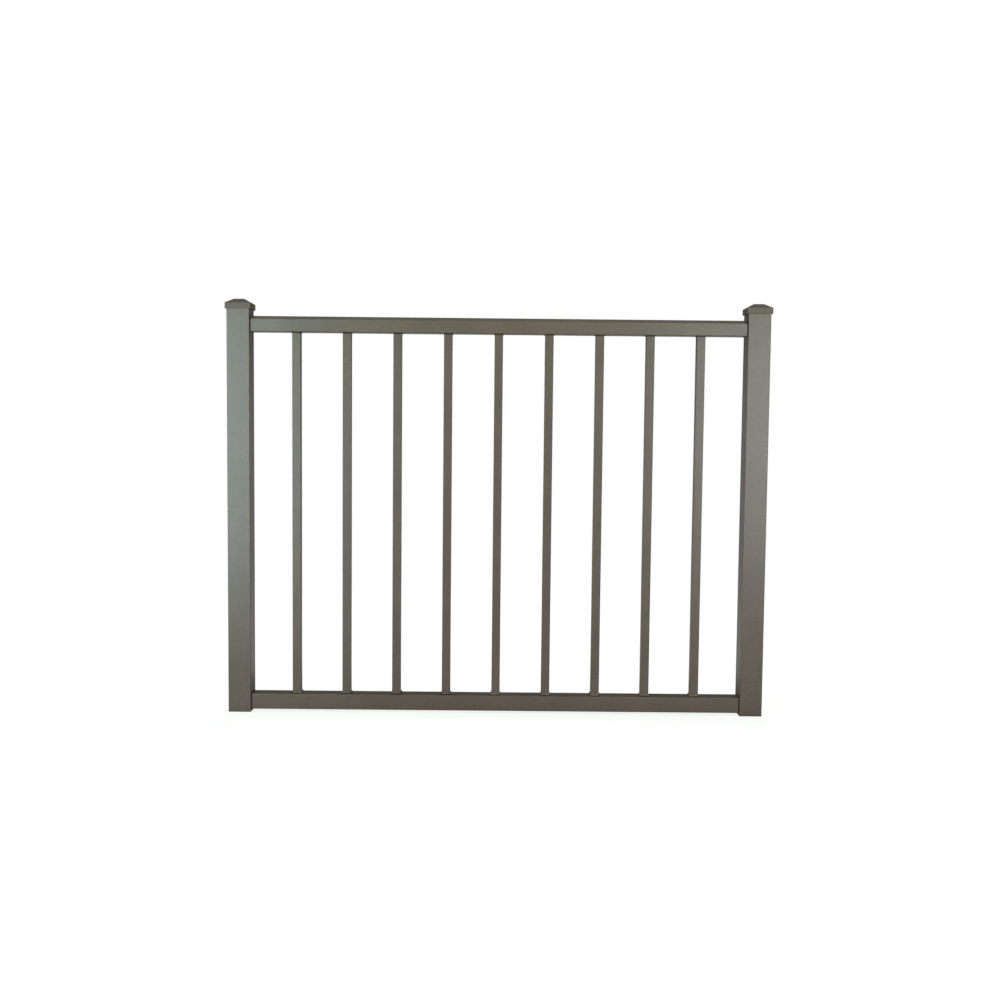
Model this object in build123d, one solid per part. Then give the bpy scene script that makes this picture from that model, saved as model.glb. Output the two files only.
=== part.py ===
"""Metal gate leaf: two square uprights with caps, two rails and nine square pickets, all of welded tube.

Millimetres. +X runs along the gate from the hinge side, -Y is the front, +Z is up.
The origin lies on the hinge upright's outer face, at its foot and on the gate's middle plane.
"""
import os

from build123d import *

# Overall size
GATE_WIDTH = 1219.2
POST_HEIGHT = 914.4

# Uprights
POST_SIZE = 50.8
POST_WALL = 2.0
POST_EDGE_RADIUS = 1.0

# Rails, centred on the uprights' depth
RAIL_DEPTH = 38.1
RAIL_HEIGHT = 35.1
RAIL_WALL = 1.8
RAIL_EDGE_RADIUS = 1.6
TOP_RAIL_BEVEL = 7.1
BEVEL_EASE = 0.6
TOP_RAIL_DROP = 15.1
BOTTOM_RAIL_RISE = 5.75

# Pickets, whose two end gaps are a little narrower than the rest
PICKET_COUNT = 9
PICKET_SIZE = 19.05
PICKET_WALL = 1.3
PICKET_EDGE_RADIUS = 0.8
END_GAP_TRIM = 1.95

# Caps: a flat-topped pyramid on a straight skirt, with a hollow plug inside the upright
CAP_OVERHANG = 3.175
CAP_SKIRT = 13.0
CAP_RISE = 9.65
CAP_FLAT = 23.2
CAP_EDGE_RADIUS = 0.8
CAP_WALL = 3.0
PLUG_LENGTH = 18.0
PLUG_CLEARANCE = 0.25

# Places that follow from the sizes
CLEAR_WIDTH = GATE_WIDTH - 2 * POST_SIZE
TOP_RAIL_TOP = POST_HEIGHT - TOP_RAIL_DROP
TOP_RAIL_BOTTOM = TOP_RAIL_TOP - RAIL_HEIGHT
BOTTOM_RAIL_TOP = BOTTOM_RAIL_RISE + RAIL_HEIGHT
PICKET_LENGTH = TOP_RAIL_BOTTOM - BOTTOM_RAIL_TOP
PICKET_GAP = (CLEAR_WIDTH - PICKET_COUNT * PICKET_SIZE + 2 * END_GAP_TRIM) / (PICKET_COUNT + 1)
PICKET_PITCH = PICKET_GAP + PICKET_SIZE
FIRST_PICKET_X = POST_SIZE + PICKET_GAP - END_GAP_TRIM + PICKET_SIZE / 2
CAP_SIZE = POST_SIZE + 2 * CAP_OVERHANG
PLUG_SIZE = POST_SIZE - 2 * POST_WALL - 2 * PLUG_CLEARANCE
BEVEL_WALL_SHARE = 2 - 2**0.5


def square_tube(size, wall, edge_radius, length):
    """A square tube standing on the origin, with rounded outer edges."""
    section = RectangleRounded(size, size, edge_radius) - Rectangle(size - 2 * wall, size - 2 * wall)
    return extrude(section, amount=length)


def rail_outline(depth, height, top_bevel, edge_radius):
    """A rail's outline about its centre: bevelled or rounded upper corners, rounded lower ones."""
    outline = Rectangle(depth, height)
    lower, upper = outline.vertices().group_by(Axis.Y)
    if not top_bevel:
        return fillet(lower + upper, edge_radius)
    outline = chamfer(upper, top_bevel)
    outline = fillet(outline.vertices().group_by(Axis.Y)[0], edge_radius)
    bevel_edges = [vertex for vertex in outline.vertices() if vertex.Y >= height / 2 - top_bevel - BEVEL_EASE]
    return fillet(bevel_edges, BEVEL_EASE)


def rail_tube(top_bevel):
    """A rail between the uprights, its underside on the ground plane."""
    outer = rail_outline(RAIL_DEPTH, RAIL_HEIGHT, top_bevel, RAIL_EDGE_RADIUS)
    inner = Rectangle(RAIL_DEPTH - 2 * RAIL_WALL, RAIL_HEIGHT - 2 * RAIL_WALL)
    if top_bevel:
        inner = chamfer(inner.vertices().group_by(Axis.Y)[-1], top_bevel - BEVEL_WALL_SHARE * RAIL_WALL)
    tube = extrude(Plane.YZ * (outer - inner), amount=CLEAR_WIDTH)
    return Pos(POST_SIZE, 0, RAIL_HEIGHT / 2) * tube


def post_cap():
    """A cap standing on the ground plane about the Z axis, its plug reaching below that plane."""
    skirt = extrude(Rectangle(CAP_SIZE, CAP_SIZE), amount=CAP_SKIRT)
    shoulder = Pos(0, 0, CAP_SKIRT) * Rectangle(CAP_SIZE, CAP_SIZE)
    flat = Pos(0, 0, CAP_SKIRT + CAP_RISE) * Rectangle(CAP_FLAT, CAP_FLAT)
    head = skirt + loft([shoulder, flat])
    underside = head.edges().group_by(Axis.Z)[0]
    head = fillet([edge for edge in head.edges() if edge not in underside], CAP_EDGE_RADIUS)
    plug = extrude(Rectangle(PLUG_SIZE, PLUG_SIZE), amount=-PLUG_LENGTH)
    hollow_size = PLUG_SIZE - 2 * CAP_WALL
    hollow = Pos(0, 0, -PLUG_LENGTH) * extrude(
        Rectangle(hollow_size, hollow_size), amount=PLUG_LENGTH + CAP_SKIRT - CAP_WALL
    )
    return head + plug - hollow


def gate():
    """Every piece of the gate in its place, by name."""
    post = square_tube(POST_SIZE, POST_WALL, POST_EDGE_RADIUS, POST_HEIGHT)
    cap = post_cap()
    picket = square_tube(PICKET_SIZE, PICKET_WALL, PICKET_EDGE_RADIUS, PICKET_LENGTH)
    left_x = POST_SIZE / 2
    right_x = GATE_WIDTH - POST_SIZE / 2
    pieces = {
        "left_post": Pos(left_x, 0, 0) * post,
        "right_post": Pos(right_x, 0, 0) * post,
        "left_post_cap": Pos(left_x, 0, POST_HEIGHT) * cap,
        "right_post_cap": Pos(right_x, 0, POST_HEIGHT) * cap,
        "top_rail": Pos(0, 0, TOP_RAIL_BOTTOM) * rail_tube(TOP_RAIL_BEVEL),
        "bottom_rail": Pos(0, 0, BOTTOM_RAIL_RISE) * rail_tube(0),
    }
    for i in range(PICKET_COUNT):
        pieces[f"picket_{i + 1}"] = Pos(FIRST_PICKET_X + i * PICKET_PITCH, 0, BOTTOM_RAIL_TOP) * picket
    return pieces


os.makedirs("parts", exist_ok=True)
for name, piece in gate().items():
    export_step(piece, f"parts/{name}.step")
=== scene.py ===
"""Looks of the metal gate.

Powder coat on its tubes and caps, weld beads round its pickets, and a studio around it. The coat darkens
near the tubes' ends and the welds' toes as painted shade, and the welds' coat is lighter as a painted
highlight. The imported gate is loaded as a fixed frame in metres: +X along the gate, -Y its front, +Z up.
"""
import logging
import math
from dataclasses import dataclass, field
from enum import Enum
from typing import Any

import bpy
import numpy as np
from mathutils import Matrix, Vector


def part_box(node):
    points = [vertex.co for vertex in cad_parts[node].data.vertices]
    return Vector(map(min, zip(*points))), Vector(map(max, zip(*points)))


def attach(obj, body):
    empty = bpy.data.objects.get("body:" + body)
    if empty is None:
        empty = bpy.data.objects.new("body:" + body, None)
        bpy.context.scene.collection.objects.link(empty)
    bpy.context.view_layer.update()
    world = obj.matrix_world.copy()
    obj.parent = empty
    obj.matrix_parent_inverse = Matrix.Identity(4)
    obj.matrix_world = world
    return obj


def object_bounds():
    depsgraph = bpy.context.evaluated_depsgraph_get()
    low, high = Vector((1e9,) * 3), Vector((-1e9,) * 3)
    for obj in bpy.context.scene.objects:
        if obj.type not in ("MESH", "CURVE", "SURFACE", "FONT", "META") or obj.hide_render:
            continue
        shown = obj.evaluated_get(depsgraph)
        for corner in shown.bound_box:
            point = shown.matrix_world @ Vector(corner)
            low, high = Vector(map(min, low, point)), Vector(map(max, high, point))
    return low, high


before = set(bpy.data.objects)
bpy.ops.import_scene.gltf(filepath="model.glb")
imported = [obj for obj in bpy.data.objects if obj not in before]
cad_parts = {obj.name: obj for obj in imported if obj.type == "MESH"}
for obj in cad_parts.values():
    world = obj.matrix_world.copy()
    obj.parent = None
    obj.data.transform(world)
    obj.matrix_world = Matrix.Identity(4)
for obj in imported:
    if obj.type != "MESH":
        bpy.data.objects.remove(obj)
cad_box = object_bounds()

log = logging.getLogger("gate")

MM = 0.001
QUARTER_TURN = math.pi / 2
FULL_TURN = 2 * math.pi
BODY = "root"

Colour = tuple[float, float, float]
Span = tuple[float, float]

WHITE = (1.0, 1.0, 1.0, 1.0)

# Nearly all of a noise lies between these values
NOISE_SPAN = (0.3, 0.7)

# Sides of a picket
SIDES = 4


class Slot(Enum):
    """A material slot name from the record, which nothing in this script uses."""

    FRAME = "frame_paint"


class Axis(Enum):
    """The directions along which a tube can end at a joint."""

    ALONG = "X"
    UP = "Z"


class PicketEnd(Enum):
    """The two ends of a picket, each with the way its welds grow away from the rail."""

    FOOT = 1.0
    HEAD = -1.0


class NodeTree:
    """A shader node tree with short calls for adding and joining nodes."""

    def __init__(self, tree: bpy.types.NodeTree) -> None:
        """Takes over the node tree of a material or of the world, and empties it."""
        self.tree = tree
        tree.nodes.clear()

    def add(self, kind: str, inputs: dict[Any, Any] | None = None, **settings: Any) -> bpy.types.Node:
        """Adds one node.

        Args:
            kind: Blender's name for the node type, without the leading ShaderNode.
            inputs: Values or output sockets for the node's inputs, by name or number.
            settings: Attributes to set on the node.

        Returns:
            The new node.
        """
        node = self.tree.nodes.new("ShaderNode" + kind)
        for name, value in settings.items():
            setattr(node, name, value)
        for key, value in (inputs or {}).items():
            if isinstance(value, bpy.types.NodeSocket):
                self.tree.links.new(value, node.inputs[key])
            else:
                node.inputs[key].default_value = value
        return node

    def math(self, operation: str, a: Any, b: Any) -> bpy.types.NodeSocket:
        """Adds a Math node on two values or sockets, and returns its result's socket."""
        return self.add("Math", {0: a, 1: b}, operation=operation).outputs[0]

    def remap(self, value: Any, span: Span, result: Span) -> bpy.types.NodeSocket:
        """Carries one range of a value onto another, smoothly and clamped.

        Args:
            value: The socket to read.
            span: The range that is read.
            result: What its two ends become.

        Returns:
            The result's socket.
        """
        ends = {"From Min": span[0], "From Max": span[1], "To Min": result[0], "To Max": result[1]}
        node = self.add("MapRange", {"Value": value, **ends}, interpolation_type="SMOOTHSTEP")
        return node.outputs["Result"]

    def noise(self, place: Any, scale: float, octaves: float) -> bpy.types.NodeSocket:
        """Adds a noise with so many features to the metre, and returns its value's socket."""
        return self.add("TexNoise", {"Vector": place, "Scale": scale, "Detail": octaves}).outputs["Fac"]

    def seen_background(self) -> bpy.types.NodeSocket:
        """Tells the rays that see the background from those that only carry light.

        Returns:
            The socket of a value that is one for camera, glossy and transmission rays, and zero for others.
        """
        path = self.add("LightPath").outputs
        mirror = self.math("MAXIMUM", path["Is Glossy Ray"], path["Is Transmission Ray"])
        return self.math("MAXIMUM", path["Is Camera Ray"], mirror)


@dataclass(frozen=True)
class PaintedJointShade:
    """Painted shade in the corner where a tube's two ends meet other metal: the coat's colour darkens there.

    Attributes:
        axis: The direction the tube runs.
        low: The place of its first end along that direction, in metres.
        high: The place of its second end, in metres.
        reach: How far the shade reaches from each end, in metres.
        shade: The brightness of the painted shade in the corner, as a share.
    """

    axis: Axis
    low: float
    high: float
    reach: float
    shade: float = 0.03

    @classmethod
    def of(cls, name: str, axis: Axis, reach: float) -> "PaintedJointShade":
        """Reads a tube's ends from its solid.

        Args:
            name: The tube's node.
            axis: The direction it runs.
            reach: How far the shade reaches from each end, in metres.

        Returns:
            The painted shade.
        """
        low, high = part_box(name)
        number = "XYZ".index(axis.value)
        return cls(axis, low[number], high[number], reach)

    def brightness(self, nodes: NodeTree, place: bpy.types.NodeSocket) -> bpy.types.NodeSocket:
        """Makes the value that darkens the coat near both ends as painted shade, and is one elsewhere.

        Args:
            nodes: The material's nodes.
            place: The Object coordinates.

        Returns:
            The value's socket.
        """
        # Painted shade: darker towards each end of the tube
        run = nodes.add("SeparateXYZ", {0: place}).outputs[self.axis.value]
        first = nodes.remap(run, (self.low, self.low + self.reach), (self.shade, 1.0))
        second = nodes.remap(run, (self.high - self.reach, self.high), (1.0, self.shade))
        return nodes.math("MINIMUM", first, second)


@dataclass(frozen=True)
class PowderCoat:
    """A satin baked powder coat: fine orange peel, clouds and grain of colour, and slightly uneven gloss.

    Attributes:
        name: The material's name.
        colour: The coat's mean colour, linear.
        cloud: How far the colour wanders from its mean, as a share.
        roughness: The lowest and highest roughness.
        peel: The orange peel's depth in metres.
        cloud_scale: Clouds of colour to the metre.
        grain_scale: Grains of colour to the metre.
        peel_scale: Dimples of the orange peel to the metre.
        octaves: The octaves of clouds and grain.
        peel_octaves: The octaves of the orange peel.
        cloud_share: The clouds' part in the colour's wandering. The grain has the rest.
    """

    name: str
    colour: Colour
    cloud: float = 0.2
    roughness: Span = (0.335, 0.36)
    peel: float = 0.012 * MM
    cloud_scale: float = 14.0
    grain_scale: float = 210.0
    peel_scale: float = 450.0
    octaves: float = 3.0
    peel_octaves: float = 1.0
    cloud_share: float = 0.45

    def material(self, joint: PaintedJointShade | None = None) -> bpy.types.Material:
        """Makes the coat's material.

        In a joint's corner the colour darkens as painted shade, and the coat goes matt.

        Args:
            joint: The painted shade at a tube's ends, if it has any.

        Returns:
            The material, on Object coordinates.
        """
        made = bpy.data.materials.new(self.name)
        made.use_nodes = True
        nodes = NodeTree(made.node_tree)
        place = nodes.add("TexCoord").outputs["Object"]
        clouds = nodes.noise(place, self.cloud_scale, self.octaves)
        grain = nodes.noise(place, self.grain_scale, self.octaves)
        peel = nodes.noise(place, self.peel_scale, self.peel_octaves)
        cloud_part = nodes.math("MULTIPLY", clouds, self.cloud_share)
        grain_part = nodes.math("MULTIPLY", grain, 1.0 - self.cloud_share)
        wander = nodes.remap(nodes.math("ADD", cloud_part, grain_part), NOISE_SPAN, (0.0, 1.0))
        dark = tuple(c * (1 - self.cloud) for c in self.colour)
        light = tuple(c * (1 + self.cloud) for c in self.colour)
        colour = nodes.add("Mix", {"Factor": wander, "A": (*dark, 1), "B": (*light, 1)}, data_type="RGBA")
        tint = colour.outputs["Result"]
        gloss = nodes.remap(grain, NOISE_SPAN, self.roughness)
        if joint:
            # Painted shade near the ends: the colour darkens and the coat goes matt
            clear = joint.brightness(nodes, place)
            tint = nodes.add("VectorMath", {0: tint, "Scale": clear}, operation="SCALE").outputs["Vector"]
            gloss = nodes.math("MAXIMUM", gloss, nodes.math("SUBTRACT", 1.0, clear))
        bump = nodes.add("Bump", {"Height": peel, "Strength": 1.0, "Distance": self.peel}).outputs["Normal"]
        coat = nodes.add("BsdfPrincipled", {"Base Color": tint, "Roughness": gloss, "Normal": bump})
        nodes.add("OutputMaterial", {"Surface": coat.outputs["BSDF"]})
        return made


BRONZE = PowderCoat("bronze_powder_coat", (0.072, 0.047, 0.036))
BRONZE_ON_CASTING = PowderCoat(
    "bronze_coat_on_casting", (0.073, 0.049, 0.038), roughness=(0.46, 0.50), peel=0.018 * MM
)
# The weld coat is lighter than the tubes' coat as a painted highlight, standing in for glints on the beads
BRONZE_WITH_PAINTED_WELD_GLINT = PowderCoat("bronze_weld_painted_glint", (0.115, 0.083, 0.066), cloud=0.4, roughness=(0.24, 0.3))


def dress_nodes(names: list[str], finish: bpy.types.Material) -> None:
    """Puts a finish in the material slot of CAD nodes.

    Args:
        names: The nodes' names.
        finish: The material.
    """
    for name in names:
        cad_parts[name].data.materials[0] = finish
        log.info("%s dressed in %s", name, finish.name)


def picket_names() -> list[str]:
    """The pickets' node names, in order."""
    return sorted(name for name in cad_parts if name.startswith("picket_"))


def closed_rings(name: str, points: np.ndarray) -> bpy.types.Object:
    """Makes one mesh of several closed rings, each a closed section carried round a closed path.

    Args:
        name: The piece's name.
        points: Points as ring, step along the path, place around the section, and XYZ. Seen along the
            path, the section turns so that its faces point outwards.

    Returns:
        The new object, linked to the scene.
    """
    rings, steps, around, _ = points.shape
    # A closed ring has as many faces as points
    count = rings * steps * around
    ring, step, place = np.meshgrid(np.arange(rings), np.arange(steps), np.arange(around), indexing="ij")
    after, beside = (step + 1) % steps, (place + 1) % around
    quads = [
        (ring * steps + along) * around + across
        for along, across in ((step, place), (after, place), (after, beside), (step, beside))
    ]
    corners = np.stack(quads, axis=3).astype(np.int32)
    mesh = bpy.data.meshes.new(name)
    mesh.vertices.add(count)
    mesh.vertices.foreach_set("co", points.astype(np.float32).ravel())
    mesh.loops.add(corners.size)
    mesh.loops.foreach_set("vertex_index", corners.ravel())
    mesh.polygons.add(count)
    mesh.polygons.foreach_set("loop_start", np.arange(0, corners.size, len(quads), dtype=np.int32))
    mesh.polygons.foreach_set("use_smooth", np.ones(count, dtype=bool))
    mesh.update(calc_edges=True)
    mesh.validate()
    piece = bpy.data.objects.new(name, mesh)
    bpy.context.scene.collection.objects.link(piece)
    return piece


@dataclass
class PicketWelds:
    """The weld beads at one end of the pickets, one right round each of them.

    Attributes:
        end: Which end of the pickets.
        pickets: The pickets' node names.
        reach: A bead's reach out along the rail, in metres.
        climb: Its reach up the picket, in metres.
        corner: The radius of the picket's edges, in metres.
        sunk: How far a bead's hidden faces sit inside the metal, in metres.
        section_power: The power of the section's curve. One makes it an ellipse, and two a straight slope.
        size_spread: How far one bead's size is from another's, as a share.
        ripples: Ripples in the bead on one side of a picket.
        ripple_height: The height of a ripple, as a share of the bead.
        ripple_lag: How far a ripple lags in the middle of the face, in ripples.
        swells: The two counts of slow waves round a bead.
        unevenness: How far a bead swells and thins along its way, as a share.
        seed: The seed of the beads' small differences.
        side_steps: Points along one side of a picket.
        corner_steps: Points round one corner of it.
        arc: Points across a bead's outer face.
    """

    end: PicketEnd
    pickets: list[str]
    reach: float = 2.8 * MM
    climb: float = 4.4 * MM
    corner: float = 0.8 * MM
    sunk: float = 0.25 * MM
    section_power: float = 1.5
    size_spread: float = 0.12
    ripples: int = 4
    ripple_height: float = 0.2
    ripple_lag: float = 0.6
    swells: tuple[int, int] = (3, 5)
    unevenness: float = 0.12
    seed: int = 4
    side_steps: int = 30
    corner_steps: int = 8
    arc: int = 9

    def outline(self, half: float) -> tuple[np.ndarray, np.ndarray]:
        """Walks round a picket's section, a square with rounded corners.

        One straight side and the quarter circle after it are turned by a quarter turn four times.

        Args:
            half: Half the picket's width, in metres.

        Returns:
            The points of the outline, and the direction out of the picket at each.
        """
        straight = half - self.corner
        along = np.linspace(-straight, straight, self.side_steps)
        side = np.stack([np.full(self.side_steps, half), along], axis=1)
        angle = np.linspace(0.0, QUARTER_TURN, self.corner_steps + 2)[1:-1]
        bend = np.stack([np.cos(angle), np.sin(angle)], axis=1)
        quarter = np.concatenate([side, straight + self.corner * bend])
        outward = np.concatenate([np.tile([1.0, 0.0], (self.side_steps, 1)), bend])
        turns = np.arange(SIDES) * QUARTER_TURN
        cos, sin = np.cos(turns), np.sin(turns)
        spin = np.stack([np.stack([cos, -sin], axis=1), np.stack([sin, cos], axis=1)], axis=1)
        return tuple(np.einsum("tij,pj->tpi", spin, part).reshape(-1, 2) for part in (quarter, outward))

    def build(self) -> bpy.types.Object:
        """Makes every bead as one mesh.

        A bead's path is its picket's outline. Its section is a quarter of a superellipse from the rail to
        the picket, then a square corner sunk in the metal. The section swells and thins slowly along the
        path, and crescent ripples, which are cosines that lag in the middle of the face, run along it.

        Returns:
            The welds' object.
        """
        boxes = np.array([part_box(name) for name in self.pickets])
        middle = boxes[:, :, :2].mean(axis=1)
        rail = boxes[0, 0, 2] if self.end is PicketEnd.FOOT else boxes[0, 1, 2]
        outline, outward = self.outline((boxes[0, 1, 0] - boxes[0, 0, 0]) / 2)
        beads, steps = len(boxes), len(outline)
        chance = np.random.default_rng(self.seed)
        size = chance.uniform(1.0 - self.size_spread, 1.0 + self.size_spread, beads)[:, None, None]
        waves = len(self.swells)
        phase = chance.uniform(0.0, 1.0, (waves + 1, beads))[:, :, None, None]

        turn = np.linspace(0.0, QUARTER_TURN, self.arc)
        bulge = np.sin(2 * turn)
        way = np.linspace(0.0, 1.0, steps, endpoint=False)[None, :, None]
        swell = sum(np.cos(FULL_TURN * (self.swells[i] * way + phase[i])) for i in range(waves))
        ripple = np.cos(FULL_TURN * (SIDES * self.ripples * way + phase[-1] - self.ripple_lag * bulge))
        scale = size * (1.0 + self.unevenness / waves * swell + self.ripple_height * ripple * bulge)
        out = self.reach * np.cos(turn) ** self.section_power * scale
        up = self.climb * np.sin(turn) ** self.section_power * scale
        hidden = np.full((beads, steps, 1), -self.sunk)
        out = np.concatenate([out[:, :, :1], out, hidden, hidden], axis=2)
        up = np.concatenate([hidden, up, up[:, :, -1:], hidden], axis=2)
        across = middle[:, None, None] + outline[None, :, None] + outward[None, :, None] * out[..., None]
        points = np.concatenate([across, (rail + self.end.value * up)[..., None]], axis=3)
        if self.end is PicketEnd.HEAD:
            points = points[:, :, ::-1]
        return closed_rings(f"picket_{self.end.name.lower()}_welds", points)

    def dress(self, piece: bpy.types.Object, finish: bpy.types.Material) -> None:
        """Paints the welds and fixes them to the gate.

        Args:
            piece: The welds' object.
            finish: Their material.
        """
        piece.data.materials.append(finish)
        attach(piece, BODY)
        log.info("%s: %d faces", piece.name, len(piece.data.polygons))


@dataclass
class GateFrame:
    """The welded frame: uprights, rails and pickets with their solids' own shapes, and the pickets' welds.

    Attributes:
        posts: The uprights' node names.
        rails: The rails' node names.
        pickets: The pickets' node names.
        tube_joint: How far the shade reaches from a tube's ends, in metres.
        weld_toe: How far the shade at a weld's foot reaches, in metres.
    """

    posts: list[str] = field(default_factory=lambda: ["left_post", "right_post"])
    rails: list[str] = field(default_factory=lambda: ["top_rail", "bottom_rail"])
    pickets: list[str] = field(default_factory=picket_names)
    tube_joint: float = 3.4 * MM
    weld_toe: float = 3.4 * MM

    def build(self) -> list[tuple[PicketWelds, bpy.types.Object]]:
        """Makes the welds at both ends of the pickets.

        Returns:
            Each set of welds with its object.
        """
        feet = PicketWelds(PicketEnd.FOOT, self.pickets)
        heads = PicketWelds(PicketEnd.HEAD, self.pickets, reach=1.4 * MM, climb=1.8 * MM, seed=9)
        return [(welds, welds.build()) for welds in (feet, heads)]

    def dress(self, welds: list[tuple[PicketWelds, bpy.types.Object]]) -> None:
        """Paints the tubes and the welds, with painted shade near the tubes' ends and the welds' toes.

        Args:
            welds: Each set of welds with its object.
        """
        # Painted shade at the ends of rails and pickets, and at the welds' toes
        rail_end_shade = PaintedJointShade.of(self.rails[0], Axis.ALONG, self.tube_joint)
        picket_end_shade = PaintedJointShade.of(self.pickets[0], Axis.UP, self.tube_joint)
        weld_toe_shade = PaintedJointShade.of(self.pickets[0], Axis.UP, self.weld_toe)
        dress_nodes(self.posts, BRONZE.material())
        dress_nodes(self.rails, BRONZE.material(rail_end_shade))
        dress_nodes(self.pickets, BRONZE.material(picket_end_shade))
        # The welds' material carries a painted highlight in its lighter colour and painted shade at the toes
        weld_glint_and_shade_paint = BRONZE_WITH_PAINTED_WELD_GLINT.material(weld_toe_shade)
        for weld_set, piece in welds:
            weld_set.dress(piece, weld_glint_and_shade_paint)


@dataclass
class PostCaps:
    """The caps on the uprights, which keep their solids' shapes.

    Attributes:
        caps: The caps' node names.
    """

    caps: list[str] = field(default_factory=lambda: ["left_post_cap", "right_post_cap"])

    def dress(self) -> None:
        """Paints the caps."""
        dress_nodes(self.caps, BRONZE_ON_CASTING.material())


@dataclass(frozen=True)
class Softbox:
    """A rectangular soft lamp.

    Attributes:
        name: The lamp's name.
        place: Its middle, in metres.
        width: Its width in metres.
        height: Its height in metres.
        power: Its power in watts.
        colour: Its colour, linear.
        mirrored: Whether it shows in reflections.
    """

    name: str
    place: tuple[float, float, float]
    width: float
    height: float
    power: float
    colour: Colour
    mirrored: bool = True

    def build(self, aim: Vector) -> None:
        """Hangs the lamp.

        Args:
            aim: The point it faces.
        """
        lamp = bpy.data.lights.new(self.name, "AREA")
        lamp.shape = "RECTANGLE"
        lamp.size = self.width
        lamp.size_y = self.height
        lamp.energy = self.power
        lamp.color = self.colour
        hung = bpy.data.objects.new(self.name, lamp)
        hung.location = self.place
        hung.visible_glossy = self.mirrored
        hung.rotation_euler = (aim - Vector(self.place)).to_track_quat("-Z", "Y").to_euler()
        bpy.context.scene.collection.objects.link(hung)


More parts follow.
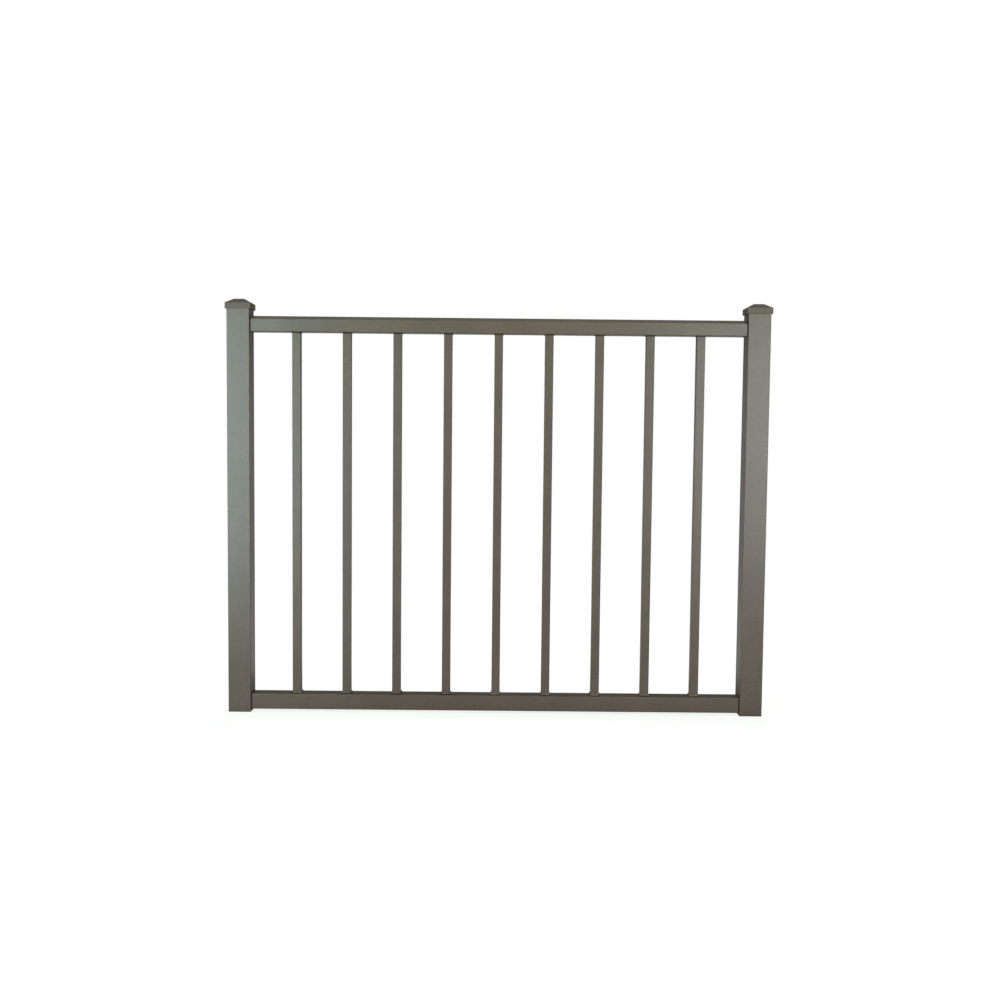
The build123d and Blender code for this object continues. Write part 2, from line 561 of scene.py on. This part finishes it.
@dataclass
class Studio:
    """The white floor, the pale surround, the lamps and the camera.

    Attributes:
        middle: The middle of the gate's foot, in metres.
        aim_height: The height that the lamps face, in metres.
        camera_place: The camera's place in metres.
        camera_pan: The camera's turn to the right, in degrees.
        camera_dip: How far it looks down, in degrees.
        camera_roll: Its roll, in degrees.
        lens: Its focal length in millimetres.
        sensor: The width of its image in millimetres.
        camera_far: How far it sees, in metres.
        floor_half: Half the floor's width, in metres.
        floor_drop: How far the floor lies below the gate's feet, in metres.
        floor_colour: The colour of the floor where it takes a shadow, linear.
        floor_glow: The strength of its glow near the gate. It is one further off.
        shadow_fade: The distances from the gate over which the shadow and the stronger glow fade, in metres.
        shadow_share: The share of the floor that takes a shadow near the gate. The rest glows.
        bounce: The colour of the light that the floor throws back on the gate, linear.
        contact: The floor's brightness close to the gate's foot, in reflections.
        foot_fade: Where along Y the floor darkens to that, coming from the front, in metres.
        back_fade: Where along Y it lightens again behind the gate, in metres.
        fill: The strength of the soft light from all round.
        rear_wall: The brightness of the floor and the low surround behind the gate, in reflections.
        dark_wall: The brightness of the surround higher up, in reflections.
        ceiling: What the surround gains overhead, in reflections.
        front_rise: Where the surround in front darkens, as the upward part of a direction.
        rear_rise: Where the surround behind darkens.
        ceiling_rise: Where the surround brightens overhead.
        side_fade: Where the front passes into the rear, as the backward part of a direction.
    """

    middle: Vector
    aim_height: float = 0.55
    camera_place: tuple[float, float, float] = (0.60763, -2.61838, 0.66147)
    camera_pan: float = 0.1768
    camera_dip: float = 3.7626
    camera_roll: float = 0.5692
    lens: float = 41.403
    sensor: float = 36.0
    camera_far: float = 200.0
    floor_half: float = 30.0
    floor_drop: float = 0.2 * MM
    floor_colour: Colour = (0.95, 0.95, 0.95)
    floor_glow: float = 1.16
    shadow_fade: Span = (0.9, 2.4)
    shadow_share: float = 0.3
    bounce: Colour = (0.56, 0.38, 0.29)
    contact: float = 0.03
    foot_fade: Span = (-0.1, 0.02)
    back_fade: Span = (0.3, 0.42)
    fill: float = 0.15
    rear_wall: float = 0.45
    dark_wall: float = 0.08
    ceiling: float = 0.5
    front_rise: Span = (0.10, 0.50)
    rear_rise: Span = (0.0, 0.12)
    ceiling_rise: Span = (0.45, 0.85)
    side_fade: Span = (-0.2, 0.2)

    def softboxes(self) -> list[Softbox]:
        """Lists the lamps.

        A tall one stands at each side of the camera, with a small low one at the left. One hangs above the
        camera, one above the gate and one behind it.

        Returns:
            The lamps.
        """
        x = self.middle.x
        return [
            Softbox("left_softbox", (x - 1.39, -2.6, 0.66), 0.4, 1.28, 35.0, (0.71, 1.0, 1.0)),
            Softbox("left_low_softbox", (x - 1.15, -2.1, 0.13), 0.5, 0.24, 2.6, (0.94, 0.98, 1.0)),
            Softbox("right_softbox", (x + 1.27, -2.6, 0.68), 0.4, 1.26, 24.5, (0.90, 1.0, 1.0)),
            Softbox("front_softbox", (x, -4.2, 2.4), 4.0, 2.6, 50.0, (0.80, 1.0, 0.45)),
            Softbox("top_softbox", (x, -0.7, 2.7), 2.2, 1.0, 17.0, (0.80, 1.0, 0.86)),
            Softbox("rear_softbox", (x, 4.0, 2.4), 4.0, 2.2, 150.0, (0.98, 1.0, 0.98), mirrored=False),
        ]

    def floor_material(self) -> bpy.types.Material:
        """Makes the material of a floor that looks white, takes a little shadow and bounces warm light.

        Returns:
            The material.
        """
        made = bpy.data.materials.new("white_floor")
        made.use_nodes = True
        nodes = NodeTree(made.node_tree)
        place = nodes.add("TexCoord").outputs["Object"]
        middle = tuple(self.middle)
        away = nodes.add("VectorMath", {0: place, 1: middle}, operation="DISTANCE").outputs["Value"]
        share = nodes.remap(away, self.shadow_fade, (self.shadow_share, 0.0))
        near_glow = nodes.remap(away, self.shadow_fade, (self.floor_glow, 1.0))
        depth = nodes.add("SeparateXYZ", {0: place}).outputs["Y"]
        close = nodes.remap(depth, self.foot_fade, (1.0, self.contact))
        behind = nodes.remap(depth, self.back_fade, (0.0, self.rear_wall))
        dimmed = nodes.math("SUBTRACT", 1.0, nodes.math("MAXIMUM", close, behind))
        mirrored = nodes.math("MULTIPLY", nodes.add("LightPath").outputs["Is Glossy Ray"], dimmed)
        strength = nodes.math("MULTIPLY", near_glow, nodes.math("SUBTRACT", 1.0, mirrored))
        glow = nodes.add("Emission", {"Color": WHITE, "Strength": strength}).outputs["Emission"]
        shaded = nodes.add("BsdfDiffuse", {"Color": (*self.floor_colour, 1)}).outputs["BSDF"]
        bounce = nodes.add("BsdfDiffuse", {"Color": (*self.bounce, 1)}).outputs["BSDF"]
        seen = nodes.add("MixShader", {0: share, 1: glow, 2: shaded}).outputs[0]
        both = nodes.add("MixShader", {0: nodes.seen_background(), 1: bounce, 2: seen}).outputs[0]
        nodes.add("OutputMaterial", {"Surface": both})
        return made

    def build_floor(self) -> None:
        """Lays the floor, one large square just under the gate's feet."""
        half = self.floor_half
        mesh = bpy.data.meshes.new("studio_floor")
        corners = np.array([[-half, -half, 0], [half, -half, 0], [half, half, 0], [-half, half, 0]])
        corners += np.array([self.middle.x, 0.0, -self.floor_drop])
        mesh.from_pydata(corners.tolist(), [], [[0, 1, 2, 3]])
        floor = bpy.data.objects.new("studio_floor", mesh)
        bpy.context.scene.collection.objects.link(floor)
        mesh.materials.append(self.floor_material())

    def build_surround(self) -> None:
        """Makes the world: white where seen, darker above and behind in reflections, and a soft fill."""
        world = bpy.data.worlds.new("studio_surround")
        bpy.context.scene.world = world
        world.use_nodes = True
        nodes = NodeTree(world.node_tree)
        direction = nodes.add("TexCoord").outputs["Generated"]
        parts = nodes.add("SeparateXYZ", {0: direction}).outputs
        depth, rise = parts["Y"], parts["Z"]
        front = nodes.remap(rise, self.front_rise, (1.0, self.dark_wall))
        rear = nodes.remap(rise, self.rear_rise, (self.rear_wall, self.dark_wall))
        behind = nodes.remap(depth, self.side_fade, (0.0, 1.0))
        wall = nodes.add("Mix", {"Factor": behind, "A": front, "B": rear}).outputs["Result"]
        wall = nodes.math("ADD", wall, nodes.remap(rise, self.ceiling_rise, (0.0, self.ceiling)))
        camera = nodes.add("LightPath").outputs["Is Camera Ray"]
        white = nodes.math("MAXIMUM", camera, wall)
        seen = nodes.add("Background", {"Color": WHITE, "Strength": white}).outputs[0]
        fill = nodes.add("Background", {"Color": WHITE, "Strength": self.fill}).outputs[0]
        both = nodes.add("MixShader", {0: nodes.seen_background(), 1: fill, 2: seen}).outputs[0]
        nodes.add("OutputWorld", {"Surface": both})

    def build_camera(self) -> None:
        """Sets the camera at the photograph's viewpoint."""
        camera = bpy.data.cameras.new("camera")
        camera.sensor_width = self.sensor
        camera.lens = self.lens
        camera.clip_end = self.camera_far
        held = bpy.data.objects.new("camera", camera)
        pan = Matrix.Rotation(-math.radians(self.camera_pan), 4, "Z")
        dip = Matrix.Rotation(QUARTER_TURN - math.radians(self.camera_dip), 4, "X")
        roll = Matrix.Rotation(math.radians(self.camera_roll), 4, "Z")
        held.matrix_world = Matrix.Translation(self.camera_place) @ pan @ dip @ roll
        bpy.context.scene.collection.objects.link(held)
        bpy.context.scene.camera = held

    def build(self) -> None:
        """Makes the floor, the surround, the lamps and the camera."""
        self.build_floor()
        self.build_surround()
        aim = self.middle + Vector((0.0, 0.0, self.aim_height))
        for lamp in self.softboxes():
            lamp.build(aim)
        self.build_camera()
        bpy.context.scene.view_settings.view_transform = "Standard"


def main() -> None:
    """Builds and dresses the gate and its studio."""
    logging.basicConfig(level=logging.INFO, format="%(name)s: %(message)s")
    gate = GateFrame()
    gate.dress(gate.build())
    PostCaps().dress()
    low, high = cad_box
    Studio(Vector(((low.x + high.x) / 2, 0.0, 0.0))).build()


if __name__ == "__main__":
    main()
